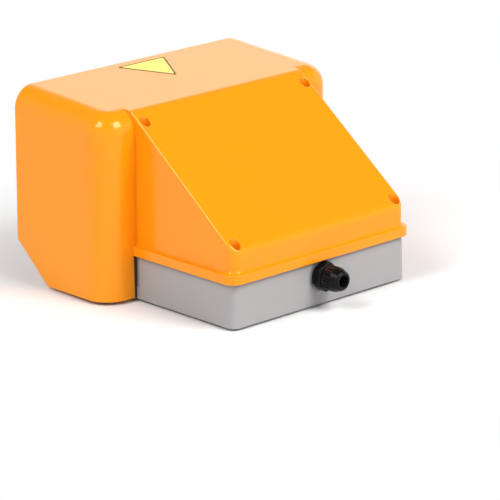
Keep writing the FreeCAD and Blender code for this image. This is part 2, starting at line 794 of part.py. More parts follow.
def screws(label, set_of_places, radius, head_radius, seat, length, head="head_height"):
    """Slotted screws, each standing with the underside of its head on the seat."""
    bars = []
    for number, (x, y) in enumerate(set_of_places):
        shank = rod(f"{label}_shank_{number}", "z", radius, (x, y, f"({seat}) - ({length})"), length)
        cap = rod(f"{label}_head_{number}", "z", head_radius, (x, y, seat), head)
        slot = box(f"{label}_slot_{number}",
                   (f"({x}) - ({head_radius})", f"({y}) - 0.4", f"({seat}) + 0.55 * {head}"),
                   (f"({x}) + ({head_radius})", f"({y}) + 0.4", f"({seat}) + {head} + 1"))
        bars.append(cut(f"{label}_{number}", fuse(f"{label}_blank_{number}", [shank, cap]), [slot]))
    finish(group(label + "_group", bars), label)


screws("hood_screws", WELLS, "screw_radius - screw_bite", "well_radius - 0.4", "lid_top + well_seat",
       "screw_length", "screw_head")
screws("cover_screws", LID_SCREWS, "small_screw - small_bite", "small_head - 0.2", "lid_top - lid_recess",
       "lid_screw_length", "lid_recess")

side_heads = rods("side_screw_head", SIDE_SCREWS, "small_head", "side_seat - head_height", "side_seat")
side_shanks = rods("side_screw_shank", SIDE_SCREWS, "small_screw - small_bite", "side_seat",
                   "side_seat + side_screw_length")
finish(group("side_screw_set", [
    fuse(f"side_screw_{number}", [head, shank])
    for number, (head, shank) in enumerate(zip(side_heads, side_shanks))
]), "hood_side_screws")

# The pedal turns on a steel shaft between the cheeks. It is drawn level, with the shaft at its origin,
# and then tilted to where its spring holds it.


def new_sketch(body, name, plane, points=(), circles=(), level="0"):
    """A sketch on one of the body's own origin planes, lifted to a level along its normal."""
    sketch = body.newObject("Sketcher::SketchObject", name)
    roles = {feature.Role: feature for feature in body.Origin.OriginFeatures}
    sketch.AttachmentSupport = (roles[plane + "_Plane"], [""])
    sketch.MapMode = "FlatFace"
    sketch.setExpression("AttachmentOffset.Base.z", link(level))
    if points:
        draw(sketch, points)
    if circles:
        draw_circles(sketch, circles)
    return sketch


def pad(body, sketch, length, back=False):
    """Add material above a sketch, or below it."""
    feature = body.newObject("PartDesign::Pad", sketch.Name + "_pad")
    feature.Profile = sketch
    feature.Reversed = back
    return bind(feature, Length=length)


def pocket(body, sketch, length, middle=False):
    """Take material away below a sketch, or on both sides of it, and make sure that some goes."""
    document.recompute()
    before = body.Shape.Volume
    feature = body.newObject("PartDesign::Pocket", sketch.Name + "_pocket")
    feature.Profile = sketch
    feature.Midplane = middle
    bind(feature, Length=length)
    document.recompute()
    if body.Shape.Volume > before - 0.001:
        raise RuntimeError(f"{feature.Name} takes nothing away")
    return feature


def soften(body, name, radius, wanted):
    """Round the picked edges of a body as it stands."""
    document.recompute()
    tip = body.Tip
    feature = body.newObject("PartDesign::Fillet", name)
    feature.Base = (tip, [f"Edge{number}" for number in edge_numbers(tip, wanted)])
    return bind(feature, Radius=radius)


def pedal_plan(inset):
    """The pedal's outline from above: a wide plate that narrows between the hood's columns."""
    return both([
        (f"pedal_half - {inset}", f"-(pedal_front - {inset})"),
        (f"pedal_half - {inset}", f"pedal_step - {inset}"),
        (f"toe_half - {inset}", f"pedal_step - {inset}"),
        (f"toe_half - {inset}", f"pedal_rear - {inset}"),
    ])


def on_pedal(thing, label):
    """Place a piece that is drawn level about the shaft on the tilted pedal."""
    thing.Label = label
    pieces.append(thing)
    thing.Placement = Placement(Vector(), Rotation(Vector(1, 0, 0), 1))
    thing.setExpression(".Placement.Rotation.Angle", link("pedal_tilt"))
    return bind(thing, y="rear - shaft_reach", z="shaft_height")


pedal = document.addObject("PartDesign::Body", "pedal_body")
under = "(pedal_rise - pedal_plate)"
pad(pedal, new_sketch(pedal, "pedal_plan", "XY", pedal_plan("0"), level=under), "pedal_plate")
pad(pedal, new_sketch(pedal, "pedal_tray", "XY", both([
    ("pedal_half", "-pedal_front"), ("pedal_half", "skirt_rear"),
]), level=under + " - pedal_skirt"), "pedal_skirt")
step = near(size_of("pedal_step"))
soften(pedal, "pedal_corners", "pedal_corner",
       lambda edge: runs("z")(edge) and abs(edge.Vertexes[0].Y - size_of("pedal_step")) > 1
       and abs(edge.Vertexes[0].Y - SIZES["skirt_rear"]) > 1)
soften(pedal, "step_corners", "step_round", runs("z", y=step))
pocket(pedal, new_sketch(pedal, "pedal_hollow", "XY", both([
    ("pedal_half - pedal_wall", "-(pedal_front - pedal_wall)"),
    ("pedal_half - pedal_wall", "skirt_rear - pedal_wall"),
]), level=under), "pedal_skirt + 1")
for number, across in enumerate(("rib_outer", "rib_inner", "-rib_inner", "-rib_outer")):
    pad(pedal, new_sketch(pedal, f"pedal_rib_{number}", "XY", [
        (f"{across} - rib_thick / 2", "-(pedal_front - 1)"),
        (f"{across} + rib_thick / 2", "-(pedal_front - 1)"),
        (f"{across} + rib_thick / 2", "skirt_rear - 1"),
        (f"{across} - rib_thick / 2", "skirt_rear - 1"),
    ], level=under), "rib_depth", back=True)
for side, level in (("left", "pedal_half - hub_length"), ("right", "-(pedal_half - 1)")):
    hub = new_sketch(pedal, f"{side}_hub", "YZ", circles=[("0", "0", "hub_radius")], level=level)
    pad(pedal, hub, "hub_length - 1")
pocket(pedal, new_sketch(pedal, "hub_bore", "YZ", circles=[("0", "0", "shaft_radius + running_gap")]),
       "2 * pedal_half + 2", middle=True)
on_pedal(pedal, "pedal")

# A ribbed rubber tread is bonded to the top of the pedal.
tread = document.addObject("PartDesign::Body", "tread_body")
tread_plan = new_sketch(tread, "tread_plan", "XY", pedal_plan("tread_inset"), level="pedal_rise")
pad(tread, tread_plan, "tread_thick")
soften(tread, "tread_corners", "step_round", runs("z"))
first_rib = pad(tread, new_sketch(tread, "tread_rib", "XY", both([
    ("toe_half - 2 * tread_inset", "0"), ("toe_half - 2 * tread_inset", "tread_pitch / 2"),
]), level="pedal_rise + tread_thick - 0.5"), "tread_rib + 0.5")
ribs = tread.newObject("PartDesign::LinearPattern", "tread_ribs")
ribs.Originals = [first_rib]
ribs.Direction = next((axis, [""]) for axis in tread.Origin.OriginFeatures if axis.Role == "Y_Axis")
ribs.Length = SIZES["tread_pitch"] * (SIZES["tread_ribs"] - 1)
ribs.Occurrences = int(SIZES["tread_ribs"])
tread.Tip = ribs
on_pedal(tread, "pedal_tread")

# The shaft turns with the pedal in two flanged bushes, and a spring ring at each end holds it in place.
SHAFT_PLACE = ("-shaft_reach", "shaft_height")
shaft = rod("shaft_bar", "x", "shaft_radius", ("-(cheek_outer + shaft_end)",) + SHAFT_PLACE,
            "2 * (cheek_outer + shaft_end)")
grooves = []
bushes = []
rings = []
for side, ring_start, tube_start, flange_start in (
    ("left", "cheek_outer + ring_gap", "cheek_inner - bush_flange", "cheek_inner - bush_flange"),
    ("right", "-(cheek_outer + ring_gap + ring_thick)", "-cheek_outer", "-cheek_inner"),
):
    where = (ring_start,) + SHAFT_PLACE
    groove_out = rod(f"{side}_groove_out", "x", "shaft_radius + 1", where, "ring_thick")
    groove_in = rod(f"{side}_groove_in", "x", "shaft_radius - 0.6", where, "ring_thick")
    grooves.append(cut(f"{side}_groove", groove_out, [groove_in]))
    ring_out = rod(f"{side}_ring_out", "x", "shaft_radius + 2.4", where, "ring_thick")
    rings.append(cut(f"{side}_ring", ring_out, [
        rod(f"{side}_ring_in", "x", "shaft_radius - 0.55", where, "ring_thick"),
        box(f"{side}_ring_mouth", (ring_start, "-(shaft_reach + 2)", "0"),
            (f"({ring_start}) + ring_thick", "-(shaft_reach - 2)", "shaft_height")),
    ]))
    bush_form = fuse(f"{side}_bush_form", [
        rod(f"{side}_bush_tube", "x", "bush_radius", (tube_start,) + SHAFT_PLACE,
            "cheek_thick + bush_flange"),
        rod(f"{side}_bush_flange", "x", "bush_radius + 2", (flange_start,) + SHAFT_PLACE, "bush_flange"),
    ])
    bushes.append(cut(f"{side}_bush", bush_form, [
        rod(f"{side}_bush_bore", "x", "shaft_radius + running_gap", (f"({tube_start}) - 1",) + SHAFT_PLACE,
            "cheek_thick + bush_flange + 2"),
    ]))
finish(cut("shaft", shaft, grooves), "pedal_shaft")
finish(group("rings", rings), "shaft_rings")
finish(group("bushes", bushes), "shaft_bushes")

# Two buffers on the lid end the pedal's travel, and two capped posts under its front edge stop its return.
finish(group("buffers", rods("buffer", spread(("buffer_x", "-buffer_reach")), "buffer_radius", "lid_top",
                             "lid_top + buffer_height")), "pedal_buffers")
cap_forms = rods("stop_cap", STOPS, "stop_radius", "post_top - 4", "post_top + stop_cap")
sockets = rods("stop_socket", STOPS, "stop_radius - 1", "post_top - 5", "post_top")
finish(group("stops", [
    cut(f"stop_{number}", cap_form, [socket])
    for number, (cap_form, socket) in enumerate(zip(cap_forms, sockets))
]), "rest_stops")

# The return spring stands on a peg on the deck and pushes the pedal up from below.
helix = document.addObject("Part::Helix", "spring_helix")
bind(helix, Radius="spring_radius", Height="spring_height", Pitch="spring_height / spring_turns")
wire_end = document.addObject("Part::RegularPolygon", "spring_wire_end")
wire_end.Polygon = 8
wire_end.Placement = Placement(Vector(), Rotation(Vector(1, 0, 0), 90))
bind(wire_end, Circumradius="spring_wire", x="spring_radius")
coil = document.addObject("Part::Sweep", "spring_coil")
coil.Sections = [wire_end]
coil.Spine = (helix, [])
coil.Solid = True
coil.Frenet = True
spring = group("spring", [coil])
spring.Label = "return_spring"
pieces.append(spring)
bind(spring, y="rear - spring_reach", z="deck_top + spring_wire")

# Under the toe end a plunger passes through the lid and works both switches through a yoke.
PLUNGER = ("0", "-plunger_reach")


def on_plunger(name, radius, start, length):
    """A round bar on the plunger's axis."""
    return rod(name, "z", radius, PLUNGER + (start,), length)


plunger_bar = spun("plunger_bar", "z", [
    ("0", "collar_base"),
    ("collar_radius", "collar_base"),
    ("collar_radius", "collar_top"),
    ("plunger_radius", "collar_top"),
    ("plunger_radius", "plunger_top - plunger_radius * 0.45"),
    ("plunger_radius * 0.55", "plunger_top"),
    ("0", "plunger_top"),
], PLUNGER + ("0",))
plunger_tapping = on_plunger("plunger_tapping", "small_screw - 0.3", "collar_base - 1", "yoke_screw_length")
finish(cut("plunger_body", plunger_bar, [plunger_tapping]), "plunger")

bushing_form = fuse("bushing_form", [
    on_plunger("bushing_tube", "bushing_radius", "bushing_base", "lid_top - bushing_base"),
    on_plunger("bushing_flange", "bushing_radius + 3", "lid_top", "bushing_flange"),
])
finish(cut("bushing_body", bushing_form, [
    on_plunger("bushing_bore", "plunger_radius + running_gap", "bushing_base - 1", "lid_top"),
    on_plunger("bushing_seal_seat", "seal_radius", "lid_top - seal_height", "seal_height"),
]), "plunger_bushing")
finish(cut("seal", on_plunger("seal_out", "seal_radius - 0.02", "lid_top - seal_height", "seal_height"), [
    on_plunger("seal_in", "plunger_radius + 0.05", "0", "2 * lid_top"),
]), "plunger_seal")
nut_form = hexagon("nut_form", "z", "2 * bushing_radius + 5", PLUNGER + ("bushing_base",), "nut_height")
nut_bore = on_plunger("nut_bore", "bushing_radius + 0.05", "0", "2 * lid_top")
finish(cut("nut", nut_form, [nut_bore]), "bushing_nut")

yoke_bar = box("yoke_bar", ("-yoke_half", "-(plunger_reach + yoke_width / 2)", "yoke_seat"),
               ("yoke_half", "-(plunger_reach - yoke_width / 2)", "collar_base"))
yoke_hole = on_plunger("yoke_hole", "small_screw + 0.1", "0", "2 * lid_top")
finish(cut("yoke", rounded("yoke_rounded", yoke_bar, [(runs("z"), 3)]), [yoke_hole]), "plunger_yoke")
finish(group("yoke_screw_set", [fuse("yoke_screw_body", [
    on_plunger("yoke_screw_head", "small_head", "yoke_seat - head_height", "head_height"),
    on_plunger("yoke_screw_shank", "small_screw - small_bite", "yoke_seat",
               "yoke_height + yoke_screw_length - 2"),
])]), "yoke_screw")

# Both switches stand side by side on a steel plate, with their buttons under the yoke's two ends.
plate_form = rounded("plate_rounded", box(
    "plate_form",
    ("-(plate_screw_x + 5)", "-(plate_screw_front + 5)", "floor_top + standoff"),
    ("plate_screw_x + 5", "-(plate_screw_rear - 5)", "switch_base"),
), [(runs("z"), 3)])
plate_holes = rods("plate_hole", PLATE_SCREWS, "small_screw + 0.1", "floor_top", "switch_base + 1")
finish(cut("plate_body", plate_form, plate_holes), "switch_plate")
screws("plate_screws", PLATE_SCREWS, "small_screw - small_bite", "small_head", "switch_base",
       "plate_screw_length")

case_screws = []
case_terminals = []
for side, middle in (("left", "switch_x"), ("right", "-switch_x")):
    low = f"{middle} - switch_width / 2"
    high = f"{middle} + switch_width / 2"
    block = box(f"{side}_block", (low, "case_front", "switch_base"), (high, "case_rear", "switch_top"))
    step = box(f"{side}_step", (f"{low} - 1", "case_rear - terminal_length", "terminal_seat"),
               (f"{high} + 1", "case_rear + 1", "switch_top + 1"))
    barrier = box(f"{side}_barrier", (f"{middle} - 0.8", "case_rear - terminal_length", "switch_base + 1"),
                  (f"{middle} + 0.8", "case_rear", "switch_top - 1"))
    screw_places = [(f"{middle} {way} (switch_width / 2 - 4)", "case_front + 17") for way in "+-"]
    terminals = [
        (f"{middle} {way} terminal_side", f"case_rear - terminal_first - {row} * terminal_pitch")
        for way in "+-" for row in range(2)
    ]
    holes = [rod(f"{side}_button_bore", "z", "button_radius + running_gap",
                 (middle, "-plunger_reach", "switch_base + 2"), "switch_height")]
    holes += rods(f"{side}_case_hole", screw_places, "small_screw + 0.1", "switch_base - 1", "switch_top + 1")
    holes += rods(f"{side}_terminal_hole", terminals, "terminal_radius + 0.05",
                  "terminal_seat - terminal_depth - 0.3", "switch_top")
    case_form = fuse(f"{side}_case_form", [cut(f"{side}_stepped", block, [step]), barrier])
    finish(cut(f"{side}_case", case_form, holes), f"switch_{side}")
    button = rod(f"{side}_button_bar", "z", "button_radius", (middle, "-plunger_reach", "button_base"),
                 "button_top - button_base")
    finish(group(f"{side}_button", [button]), f"button_{side}")
    case_screws += screw_places
    case_terminals += terminals
screws("switch_screws", case_screws, "small_screw - small_bite", "small_head", "switch_top", "switch_height")
screws("terminal_screws", case_terminals, "terminal_radius", "terminal_head", "terminal_seat",
       "terminal_depth", "terminal_cap")

# The cable gland: its body is screwed through the rear wall and held by a nut inside.
GLAND = "gland_height"


def on_gland(name, radius, start, end):
    return rod(name, "y", radius, ("0", start, GLAND), f"({end}) - ({start})")


washer = cut("washer", on_gland("washer_out", "gland_flats / 2", "0", "washer_thick"),
             [on_gland("washer_in", "gland_thread + 0.1", "-1", "washer_thick + 1")])
finish(washer, "gland_washer")
collar_hex = hexagon("collar_hex", "y", "gland_flats", ("0", "washer_thick", GLAND), "gland_collar",
                     SIZES["gland_turn"])
collar_dome = spun("collar_dome", "y", [
    ("0", "0"),
    ("gland_flats", "0"),
    ("gland_flats", "washer_thick"),
    ("gland_flats / 2 + 1.6", "gland_collar_end - 1"),
    ("gland_flats / 2 - 0.3", "gland_collar_end"),
    ("0", "gland_collar_end"),
], ("0", "0", GLAND))
body_form = fuse("gland_form", [
    common("collar", collar_hex, collar_dome),
    on_gland("gland_thread_in", "gland_thread", "-gland_inside", "washer_thick + 1"),
    on_gland("gland_neck", "gland_thread", "washer_thick + 1", "gland_neck_end"),
])
finish(cut("gland_body_cut", body_form, [
    on_gland("gland_bore", "insert_radius + 0.1", "-gland_inside - 1", "gland_neck_end + 1"),
]), "gland_body")
locknut_form = hexagon("locknut_form", "y", "gland_flats", ("0", "-(base_wall + locknut_thick)", GLAND),
                       "locknut_thick")
finish(cut("locknut", locknut_form, [on_gland("locknut_bore", "gland_thread + 0.05", "-gland_inside", "0")]),
       "gland_locknut")
insert = cut("insert", on_gland("insert_out", "insert_radius", "insert_start", "insert_end"),
             [on_gland("insert_bore", "cable_radius", "0", "gland_reach")])
finish(insert, "gland_insert")

cap = document.addObject("PartDesign::Body", "cap_body")
cap_sketch = new_sketch(cap, "cap_section", "YZ", [
    ("cap_start", "gland_thread + 0.1"),
    ("cap_start", "cap_radius"),
    ("cap_start + 8", "cap_radius"),
    ("gland_reach - 3.6", "cap_radius - 1.1"),
    ("gland_reach - 0.9", "nose_radius + 1.2"),
    ("gland_reach", "nose_radius"),
    ("gland_reach", "cable_radius + 0.5"),
    ("insert_end + 0.2", "cable_radius + 0.5"),
    ("insert_end + 0.2", "insert_radius + 0.1"),
    ("gland_neck_end + 0.2", "insert_radius + 0.1"),
    ("gland_neck_end + 0.2", "gland_thread + 0.1"),
])
turned = cap.newObject("PartDesign::Revolution", "cap_turned")
turned.Profile = cap_sketch
turned.ReferenceAxis = (cap_sketch, ["H_Axis"])
turned.Angle = 360
flute_sketch = new_sketch(cap, "cap_flute", "XZ", level="-(cap_start + flute_start)", circles=[
    ("0", "cap_radius + flute_radius - flute_depth", "flute_radius"),
])
flute = pocket(cap, flute_sketch, "flute_length")
flutes = cap.newObject("PartDesign::PolarPattern", "cap_flutes")
flutes.Originals = [flute]
flutes.Axis = (flute_sketch, ["N_Axis"])
flutes.Angle = 360
flutes.Occurrences = int(SIZES["flute_count"])
cap.Tip = flutes
cap.Label = "gland_cap"
pieces.append(cap)
bind(cap, y="rear", z=GLAND)

# A brass clamp on its own standoff takes the cable's earth wire.
earth_plate = box("earth_plate", ("earth_x - 6", "-(earth_reach + 6)", "floor_top + standoff"),
                  ("earth_x + 6", "-(earth_reach - 6)", "switch_base"))
earth_holes = rods("earth_hole", EARTH, "small_screw + 0.1", "floor_top", "switch_base + 1")
finish(cut("earth", earth_plate, earth_holes), "earth_clamp")
screws("earth_screw", EARTH, "small_screw - small_bite", "small_head", "switch_base", "plate_screw_length")

document.recompute()
problems = [
    thing.Name for thing in document.Objects if "Invalid" in thing.State or "Error" in thing.State
]
problems += [
    piece.Label for piece in pieces
    if piece.Shape.isNull() or not piece.Shape.isValid() or not piece.Shape.Solids
]
if problems:
    raise RuntimeError("these failed: " + ", ".join(problems))
os.makedirs("parts", exist_ok=True)
for piece in pieces:
    piece.Shape.exportStep(f"parts/{piece.Label}.step")
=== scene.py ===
import math
import bmesh
import bpy
from mathutils import Matrix, Vector


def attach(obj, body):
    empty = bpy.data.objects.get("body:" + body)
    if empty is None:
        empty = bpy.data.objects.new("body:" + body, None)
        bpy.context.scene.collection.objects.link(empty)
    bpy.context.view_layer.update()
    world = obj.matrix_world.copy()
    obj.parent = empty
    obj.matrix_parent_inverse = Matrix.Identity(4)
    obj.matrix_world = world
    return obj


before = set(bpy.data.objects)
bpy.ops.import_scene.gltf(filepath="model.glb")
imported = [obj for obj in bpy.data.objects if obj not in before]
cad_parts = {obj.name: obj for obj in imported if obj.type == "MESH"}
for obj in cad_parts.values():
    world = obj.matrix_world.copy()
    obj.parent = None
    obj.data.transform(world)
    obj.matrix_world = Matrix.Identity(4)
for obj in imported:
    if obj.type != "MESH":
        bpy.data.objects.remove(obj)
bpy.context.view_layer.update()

# ---- Camera and studio --------------------------------------------------------------------
# The switch is seen from behind and a little above, from far away, so its edges stay nearly
# parallel. It stands on white paper in a pale room with a darker ceiling. Softboxes hang above its
# rear, over one side and in front, and its top mirrors a big dim panel beyond it.

AIM = Vector((0.0, 0.01569, 0.02721))
AZIMUTH = math.radians(137.12)
ELEVATION = math.radians(17.29)
ROLL = math.radians(-0.724)
DISTANCE = 2.5514
FOCAL_LENGTH = 234.3
SENSOR_WIDTH = 36.0

back = Vector((
    math.sin(AZIMUTH) * math.cos(ELEVATION),
    -math.cos(AZIMUTH) * math.cos(ELEVATION),
    math.sin(ELEVATION),
))
level_right = Vector((0, 0, 1)).cross(back).normalized()
level_up = back.cross(level_right)
right = level_right * math.cos(ROLL) + level_up * math.sin(ROLL)
up = level_up * math.cos(ROLL) - level_right * math.sin(ROLL)
lens = bpy.data.cameras.new("camera")
lens.lens = FOCAL_LENGTH
lens.sensor_width = SENSOR_WIDTH
lens.clip_start = 0.1
lens.clip_end = 50.0
camera = bpy.data.objects.new("camera", lens)
camera.matrix_world = Matrix((
    (right.x, up.x, back.x, AIM.x + back.x * DISTANCE),
    (right.y, up.y, back.y, AIM.y + back.y * DISTANCE),
    (right.z, up.z, back.z, AIM.z + back.z * DISTANCE),
    (0, 0, 0, 1),
))
bpy.context.scene.collection.objects.link(camera)
bpy.context.scene.camera = camera
bpy.context.scene.view_settings.view_transform = "Standard"

LAMPS_LOOK_AT = Vector((0, 0, 0.05))


def softbox(name, direction, distance, width, height, level):
    """A rectangular lamp that looks at the switch. Level is about its share of the light there."""
    data = bpy.data.lights.new(name, "AREA")
    data.shape = "RECTANGLE"
    data.size = width
    data.size_y = height
    data.energy = level * math.pi * math.pi * distance * distance
    lamp = bpy.data.objects.new(name, data)
    away = Vector(direction).normalized()
    lamp.location = LAMPS_LOOK_AT + away * distance
    lamp.rotation_mode = "QUATERNION"
    lamp.rotation_quaternion = away.to_track_quat("Z", "Y")
    lamp.visible_camera = False
    bpy.context.scene.collection.objects.link(lamp)


softbox("main_softbox", (-0.15, 0.68, 0.72), distance=2.4, width=1.20, height=1.15, level=0.80)
softbox("side_softbox", (0.665, 0.0, 0.745), distance=3.4, width=1.15, height=1.40, level=0.415)
softbox("front_softbox", (0.15, -0.92, 0.36), distance=2.4, width=1.3, height=1.0, level=0.16)
softbox("far_panel", (-0.65, -0.70, 0.30), distance=3.0, width=3.0, height=1.6, level=0.09)


def feed(tree, socket, value):
    """Give a socket a number, a colour or what another node puts out."""
    if isinstance(value, bpy.types.NodeSocket):
        tree.links.new(value, socket)
    else:
        socket.default_value = value


def number(tree, operation, *values, clamp=False):
    """A Math node. Returns its output."""
    node = tree.nodes.new("ShaderNodeMath")
    node.operation = operation
    node.use_clamp = clamp
    for socket, value in zip(node.inputs, values):
        feed(tree, socket, value)
    return node.outputs[0]


def ranged(tree, value, start, end, low=0.0, high=1.0, smooth=False):
    """A Map Range node: low where the value is at start, high at end. Returns its output."""
    node = tree.nodes.new("ShaderNodeMapRange")
    node.interpolation_type = "SMOOTHSTEP" if smooth else "LINEAR"
    for label, given in (
        ("Value", value), ("From Min", start), ("From Max", end), ("To Min", low), ("To Max", high),
    ):
        feed(tree, node.inputs[label], given)
    return node.outputs["Result"]


def either_shader(tree, share, first, second):
    """A Mix Shader node: first where the share is 0, second where it is 1. Returns its output."""
    node = tree.nodes.new("ShaderNodeMixShader")
    for socket, given in zip(node.inputs, (share, first, second)):
        feed(tree, socket, given)
    return node.outputs[0]


WALLS_END, CEILING_STARTS = 0.30, 0.75
LIT_BY_WALLS, LIT_BY_CEILING = 0.48, 0.25
MIRRORED_WALLS, MIRRORED_CEILING = 1.0, 0.15

world = bpy.data.worlds.new("studio")
bpy.context.scene.world = world
world.use_nodes = True
room = world.node_tree
room.nodes.clear()
outward = room.nodes.new("ShaderNodeTexCoord")
rise = room.nodes.new("ShaderNodeSeparateXYZ")
room.links.new(outward.outputs["Generated"], rise.inputs[0])
ceiling = ranged(room, rise.outputs["Z"], WALLS_END, CEILING_STARTS, smooth=True)
ray = room.nodes.new("ShaderNodeLightPath")
mirrored_ray = number(room, "MAXIMUM", ray.outputs["Is Glossy Ray"], ray.outputs["Is Transmission Ray"])
glows = []
for strength in (
    ranged(room, ceiling, 0.0, 1.0, LIT_BY_WALLS, LIT_BY_CEILING),
    ranged(room, ceiling, 0.0, 1.0, MIRRORED_WALLS, MIRRORED_CEILING),
    1.0,
):
    glow = room.nodes.new("ShaderNodeBackground")
    glow.inputs["Color"].default_value = (1.0, 1.0, 1.0, 1.0)
    feed(room, glow.inputs["Strength"], strength)
    glows.append(glow.outputs[0])
lighting, mirrored, backdrop = glows
unseen = either_shader(room, mirrored_ray, lighting, mirrored)
seen = either_shader(room, ray.outputs["Is Camera Ray"], unseen, backdrop)
sky = room.nodes.new("ShaderNodeOutputWorld")
room.links.new(seen, sky.inputs["Surface"])


def new_material(name):
    """An empty node material with one Principled surface, which is also returned."""
    material = bpy.data.materials.new(name)
    material.use_nodes = True
    tree = material.node_tree
    tree.nodes.clear()
    surface = tree.nodes.new("ShaderNodeBsdfPrincipled")
    output = tree.nodes.new("ShaderNodeOutputMaterial")
    tree.links.new(surface.outputs["BSDF"], output.inputs["Surface"])
    return material, tree, surface


def noise(tree, scale, detail, vector=None):
    """A Noise Texture node. Returns its output."""
    node = tree.nodes.new("ShaderNodeTexNoise")
    feed(tree, node.inputs["Scale"], scale)
    feed(tree, node.inputs["Detail"], detail)
    if vector is not None:
        feed(tree, node.inputs["Vector"], vector)
    return node.outputs["Fac"]


FLOOR_REACH = 6.0
SHADOW_REACH, PLAIN_WHITE_FROM = 0.13, 0.42

floor_mesh = bpy.data.meshes.new("studio_floor")
floor_mesh.from_pydata([
    (-FLOOR_REACH, -FLOOR_REACH, 0), (FLOOR_REACH, -FLOOR_REACH, 0),
    (FLOOR_REACH, FLOOR_REACH, 0), (-FLOOR_REACH, FLOOR_REACH, 0),
], [], [(0, 1, 2, 3)])
floor = bpy.data.objects.new("studio_floor", floor_mesh)
bpy.context.scene.collection.objects.link(floor)
paper, paper_tree, paper_surface = new_material("white_paper")
fibre = ranged(paper_tree, noise(paper_tree, scale=40.0, detail=2.0), 0.0, 1.0, low=0.87, high=0.90)
paper_tree.links.new(fibre, paper_surface.inputs["Base Color"])
paper_surface.inputs["Roughness"].default_value = 0.9
paper_surface.inputs["Specular IOR Level"].default_value = 0.0
spot = paper_tree.nodes.new("ShaderNodeNewGeometry")
from_middle = paper_tree.nodes.new("ShaderNodeVectorMath")
from_middle.operation = "LENGTH"
paper_tree.links.new(spot.outputs["Position"], from_middle.inputs[0])
fade = ranged(paper_tree, from_middle.outputs["Value"], SHADOW_REACH, PLAIN_WHITE_FROM, smooth=True)
paper_ray = paper_tree.nodes.new("ShaderNodeLightPath")
seen_or_mirrored = number(
    paper_tree, "MAXIMUM",
    number(paper_tree, "MAXIMUM", paper_ray.outputs["Is Camera Ray"],
           paper_ray.outputs["Is Glossy Ray"]),
    paper_ray.outputs["Is Transmission Ray"])
plain_white = paper_tree.nodes.new("ShaderNodeEmission")
plain_white.inputs["Strength"].default_value = 1.0
paper_or_white = either_shader(
    paper_tree, number(paper_tree, "MULTIPLY", fade, seen_or_mirrored),
    paper_surface.outputs["BSDF"], plain_white.outputs["Emission"])
paper_tree.links.new(paper_or_white, paper_tree.nodes["Material Output"].inputs["Surface"])
floor_mesh.materials.append(paper)

# ---- Grey base ------------------------------------------------------------------------------
# The base is one injection moulding in a fine-grained light grey plastic, open at the top over the
# switches, with a deck in front for the pedal. Its walls lean in a little so that it leaves the
# mould, and shade is painted into the joint where the hood's lip sits on it.

FINISH_OUTPUTS = (
    ("Colour", "NodeSocketColor"), ("Roughness", "NodeSocketFloat"), ("Normal", "NodeSocketVector"),
)
MATT_FROM_CLOUDS, MATT_FROM_WEAR = 0.12, 0.15


def new_group(name, inputs, outputs):
    """A shader node group. Returns it with the nodes that hold its inputs and its outputs."""
    group = bpy.data.node_groups.new(name, "ShaderNodeTree")
    for label, kind, value in inputs:
        socket = group.interface.new_socket(label, in_out="INPUT", socket_type=kind)
        socket.default_value = value
    for label, kind in outputs:
        group.interface.new_socket(label, in_out="OUTPUT", socket_type=kind)
    return group, group.nodes.new("NodeGroupInput"), group.nodes.new("NodeGroupOutput")


def mixed_colour(tree, share, first, second):
    """A Mix node for colours: first where the share is 0, second where it is 1."""
    node = tree.nodes.new("ShaderNodeMix")
    node.data_type = "RGBA"
    feed(tree, node.inputs["Factor"], share)
    feed(tree, node.inputs[6], first)
    feed(tree, node.inputs[7], second)
    return node.outputs[2]


def bump(tree, height, strength, distance, normal=None):
    """A Bump node. Returns its normal."""
    node = tree.nodes.new("ShaderNodeBump")
    feed(tree, node.inputs["Height"], height)
    feed(tree, node.inputs["Strength"], strength)
    feed(tree, node.inputs["Distance"], distance)
    if normal is not None:
        feed(tree, node.inputs["Normal"], normal)
    return node.outputs["Normal"]


